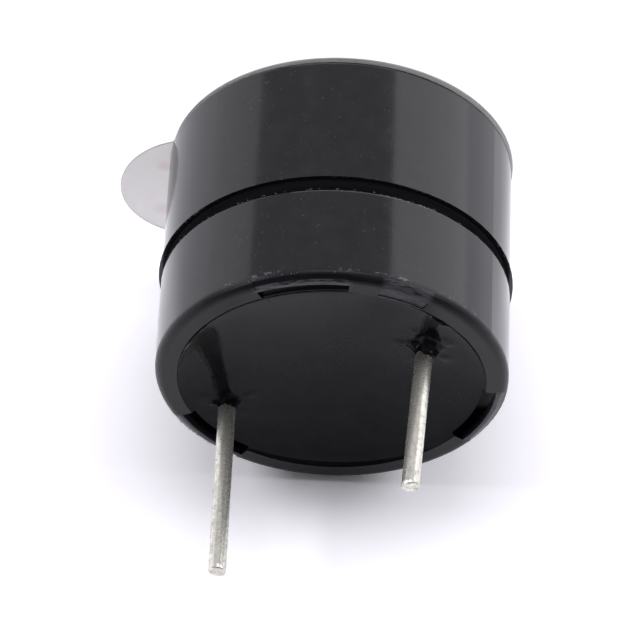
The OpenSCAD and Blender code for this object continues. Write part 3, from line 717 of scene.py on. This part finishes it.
# what the closed case holds
innerFinishes = {
    # solder mask over woven glass: a green skin with the cloth's slight unevenness
    "green masked glass epoxy": dict(tones=("#235c33", "#2f6b3c"), grain=0.25, rough=(0.3, 0.42), relief=0.01,
                                     nodes=["circuit_board"]),
    # cold-rolled brass: fine lines along the strip
    "rolled brass": dict(tones=("#bf9843", "#cfa951"), grain=0.1, lay=(0.08, 1, 1), rough=(0.24, 0.36),
                         relief=0.003, metal=1.0, nodes=["brass_disc"]),
    # pressed and fired lead zirconate titanate: a dry, pale, slightly pitted face
    "fired piezo ceramic": dict(tones=("#cfc6aa", "#ddd4ba"), grain=0.06, rough=(0.6, 0.75), relief=0.006,
                                nodes=["piezo_ceramic"]),
    # screen-printed silver: soft white metal with the screen's grain
    "printed silver": dict(tones=("#cacac6", "#dededb"), grain=0.09, rough=(0.42, 0.55), relief=0.004,
                           metal=0.9, nodes=["main_electrode", "feedback_electrode"]),
    # room-cured silicone: milky and slightly lumpy
    "cured silicone": dict(tones=("#dededa", "#ecece7"), grain=0.7, rough=(0.35, 0.5), relief=0.03,
                           nodes=["mounting_glue"]),
    # sintered ferrite: matt dark grey with a gritty face
    "sintered ferrite": dict(tones=("#333335", "#434346"), grain=0.08, rough=(0.55, 0.7), relief=0.008,
                             nodes=["choke_core"]),
    # moulded chip package: matt, faintly eroded by its tool
    "moulded chip plastic": dict(tones=("#222224", "#2b2b2d"), grain=0.05, rough=(0.5, 0.62), relief=0.004,
                                 nodes=["transistor"]),
    # thick-film chip resistors: dark glaze between pale tinned end caps
    "glazed chip resistor": dict(
        tones=("#242429", "#303036"), grain=0.15, rough=(0.25, 0.35), relief=0.003,
        ends=dict(middles=(middleOf("base_resistor")[0], middleOf("supply_resistor")[0]), past=0.52,
                  colour="#bdbdb8"),
        nodes=["base_resistor", "supply_resistor"]),
    # soft solder: bright, frozen as it flowed
    "tin solder": dict(tones=("#b7b7b2", "#cfcfcb"), grain=0.4, rough=(0.2, 0.34), relief=0.012, metal=1.0,
                       nodes=["pin_solder", "board_solder", "element_solder"]),
    # extruded PVC insulation in three colours
    "red wire insulation": dict(tones=("#9a1c1c", "#ab2626"), grain=0.4, rough=(0.34, 0.44), relief=0.006,
                                nodes=["main_wire"]),
    "blue wire insulation": dict(tones=("#2b4f98", "#385dab"), grain=0.4, rough=(0.34, 0.44), relief=0.006,
                                 nodes=["feedback_wire"]),
    "black wire insulation": dict(tones=("#1a1a1c", "#242426"), grain=0.4, rough=(0.34, 0.44), relief=0.006,
                                  nodes=["plate_wire"]),
}
for finishName, own in innerFinishes.items():
    dress(own["nodes"], finish(finishName, own))
# enamel baked on drawn copper: a warm metal under a clear, shiny coat
enamelledCopper = finish("enamelled copper wire", dict(
    tones=("#a85a26", "#c06c34"), grain=0.12, rough=(0.2, 0.3), relief=0.002, metal=1.0, coat=0.7))
dress(["choke_winding"], enamelledCopper)
print("inner parts dressed")


def newTree(name, inputs):   # a geometry tree with named inputs, and the sockets that hand them out
    tree = bpy.data.node_groups.new(name, "GeometryNodeTree")
    for kind, labels in inputs.items():
        for label in labels:
            tree.interface.new_socket(label, in_out="INPUT", socket_type="NodeSocket" + kind)
    tree.interface.new_socket("Geometry", in_out="OUTPUT", socket_type="NodeSocketGeometry")
    return tree, addNode(tree, "NodeGroupInput").outputs


def grow(name, tree, values):   # runs a tree on an empty mesh and returns its result as a plain mesh
    holder = addObject(name, bpy.data.meshes.new(name))
    modifier = holder.modifiers.new(name, "NODES")
    modifier.node_group = tree
    for item in tree.interface.items_tree:
        if item.in_out == "INPUT":
            modifier[item.identifier] = values[item.name]
    mesh = bpy.data.meshes.new_from_object(holder.evaluated_get(bpy.context.evaluated_depsgraph_get()))
    bpy.data.objects.remove(holder)
    return mesh


def joined(name, meshes, material):   # several plain meshes as one piece, its shells facing outward
    work = bmesh.new()
    for mesh in meshes:
        work.from_mesh(mesh)
    bmesh.ops.recalc_face_normals(work, faces=work.faces)
    whole = bpy.data.meshes.new(name)
    work.to_mesh(whole)
    work.free()
    whole.materials.clear()
    whole.materials.append(material)
    return addObject(name, whole)


# the choke's winding: close turns of enamelled wire, layer on layer
coilSetup = dict(inset=0.01, wire=0.1, layers=(1.03, 1.14, 1.25), sides=8, stepsPerTurn=28)


def makeCoil(s):
    tree, given = newTree("woundCoil", dict(
        Float=["Radius", "Height", "Wire", "Turns"], Int=["Steps", "Sides"], Vector=["Place"],
        Material=["Material"]))
    path = addNode(tree, "GeometryNodeCurveSpiral", {
                   "Resolution": given["Steps"], "Rotations": given["Turns"], "Height": given["Height"],
                   "Start Radius": given["Radius"], "End Radius": given["Radius"]})
    halfWire = addNode(tree, "ShaderNodeMath", {0: given["Wire"], 1: 0.5}, operation="MULTIPLY")
    section = addNode(tree, "GeometryNodeCurvePrimitiveCircle", {"Resolution": given["Sides"],
                      "Radius": halfWire})
    wound = addNode(tree, "GeometryNodeCurveToMesh", {"Curve": path, "Profile Curve": section,
                    "Fill Caps": True})
    smooth = addNode(tree, "GeometryNodeSetShadeSmooth", {"Geometry": wound})
    placed = addNode(tree, "GeometryNodeTransform", {"Geometry": smooth, "Translation": given["Place"]})
    real = addNode(tree, "GeometryNodeRealizeInstances", {"Geometry": placed})
    dressed = addNode(tree, "GeometryNodeSetMaterial", {"Geometry": real, "Material": given["Material"]})
    addNode(tree, "NodeGroupOutput", {0: dressed})
    low, high = boxOf("choke_winding")
    x, y = middleOf("choke_winding")
    bottom, wire = low[2] + s["inset"], s["wire"]
    travel = high[2] - s["inset"] - bottom - wire   # of the wire's middle, from the first turn to the last
    start = (x * mm, y * mm, (bottom + wire / 2) * mm)
    values = dict(Height=travel * mm, Wire=wire * mm, Turns=travel / wire, Steps=s["stepsPerTurn"],
                  Sides=s["sides"], Place=start, Material=enamelledCopper)
    layers = [grow("coilLayer", tree, dict(values, Radius=radius * mm)) for radius in s["layers"]]
    piece = joined("woundCoil", layers, enamelledCopper)
    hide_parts("choke_winding")
    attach(piece, "root")
    print("choke wound:", len(layers), "layers")


makeCoil(coilSetup)

# mould flash: torn crumbs of black plastic along the lip, the shoulder and each window's outer edge, paler
# than the skin where they tore
tornPlastic = finish("torn black PBT", dict(
    tones=("#2a2b2d", "#8b8d90"), grain=0.05, rough=(0.3, 0.5), relief=0.01))
flashSetup = dict(crumb=0.02, leastSize=(0.4, 0.4, 0.5), mostSize=(1.0, 0.9, 2.2), seed=7, rings=(
    dict(radius=caseR + 0.05, start=0, sweep=360, height=lipZ + 0.02, spots=520, kept=0.05, spread=0.02),
    dict(radius=caseR - 0.045, start=0, sweep=360, height=3.66, spots=700, kept=0.2, spread=0.025),
    dict(radius=caseR - 0.015, start=-90, sweep=34, height=0.22, spots=70, kept=0.16, spread=0.02),
    dict(radius=caseR - 0.025, start=30, sweep=34, height=0.17, spots=70, kept=0.4, spread=0.02),
    dict(radius=caseR - 0.025, start=150, sweep=34, height=0.17, spots=70, kept=0.4, spread=0.02)))


def makeFlash(s):
    tree, given = newTree("mouldFlash", dict(
        Float=["Radius", "Start", "Sweep", "Height", "Kept", "Spread", "Crumb"], Int=["Spots", "Seed"],
        Material=["Material"]))
    arc = addNode(tree, "GeometryNodeCurveArc", {"Resolution": 180, "Radius": given["Radius"],
                  "Start Angle": given["Start"], "Sweep Angle": given["Sweep"]})
    spots = addNode(tree, "GeometryNodeCurveToPoints", {"Curve": arc, "Count": given["Spots"]})
    draw = addNode(tree, "FunctionNodeRandomValue", {2: 0.0, 3: 1.0, "Seed": given["Seed"]},
                   data_type="FLOAT")
    lost = addNode(tree, "FunctionNodeCompare", {0: draw, 1: given["Kept"]}, operation="GREATER_THAN")
    few = addNode(tree, "GeometryNodeDeleteGeometry", {"Geometry": spots, "Selection": lost})
    # each crumb strays a little towards -X and -Y, and up or down
    back = addNode(tree, "ShaderNodeMath", {0: given["Spread"], 1: -1.0}, operation="MULTIPLY")
    low = addNode(tree, "ShaderNodeCombineXYZ", {"X": back, "Y": back, "Z": back})
    high = addNode(tree, "ShaderNodeCombineXYZ", {"Z": given["Spread"]})
    stray = addNode(tree, "FunctionNodeRandomValue", {0: low, 1: high, "Seed": given["Seed"]},
                    data_type="FLOAT_VECTOR")
    lift = addNode(tree, "ShaderNodeCombineXYZ", {"Z": given["Height"]})
    shift = addNode(tree, "ShaderNodeVectorMath", {0: lift, 1: stray}, operation="ADD")
    moved = addNode(tree, "GeometryNodeSetPosition", {"Geometry": few, "Offset": shift})
    crumb = addNode(tree, "GeometryNodeMeshIcoSphere", {"Radius": given["Crumb"], "Subdivisions": 1})
    size = addNode(tree, "FunctionNodeRandomValue", {0: s["leastSize"], 1: s["mostSize"],
                   "Seed": given["Seed"]}, data_type="FLOAT_VECTOR")
    crumbs = addNode(tree, "GeometryNodeInstanceOnPoints", {"Points": moved, "Instance": crumb,
                     "Rotation": spots.outputs["Rotation"], "Scale": size})
    real = addNode(tree, "GeometryNodeRealizeInstances", {"Geometry": crumbs})
    dressed = addNode(tree, "GeometryNodeSetMaterial", {"Geometry": real, "Material": given["Material"]})
    addNode(tree, "NodeGroupOutput", {0: dressed})
    strips = []
    for k, ring in enumerate(s["rings"]):
        strips.append(grow("flashStrip", tree, dict(
            Radius=ring["radius"] * mm, Start=math.radians(ring["start"]), Sweep=math.radians(ring["sweep"]),
            Height=ring["height"] * mm, Spots=ring["spots"], Kept=ring["kept"], Spread=ring["spread"] * mm,
            Crumb=s["crumb"] * mm, Seed=s["seed"] + k, Material=tornPlastic)))
    piece = joined("mouldFlash", strips, tornPlastic)
    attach(piece, "root")
    print("flash crumbs:", len(piece.data.polygons) // 20)


makeFlash(flashSetup)
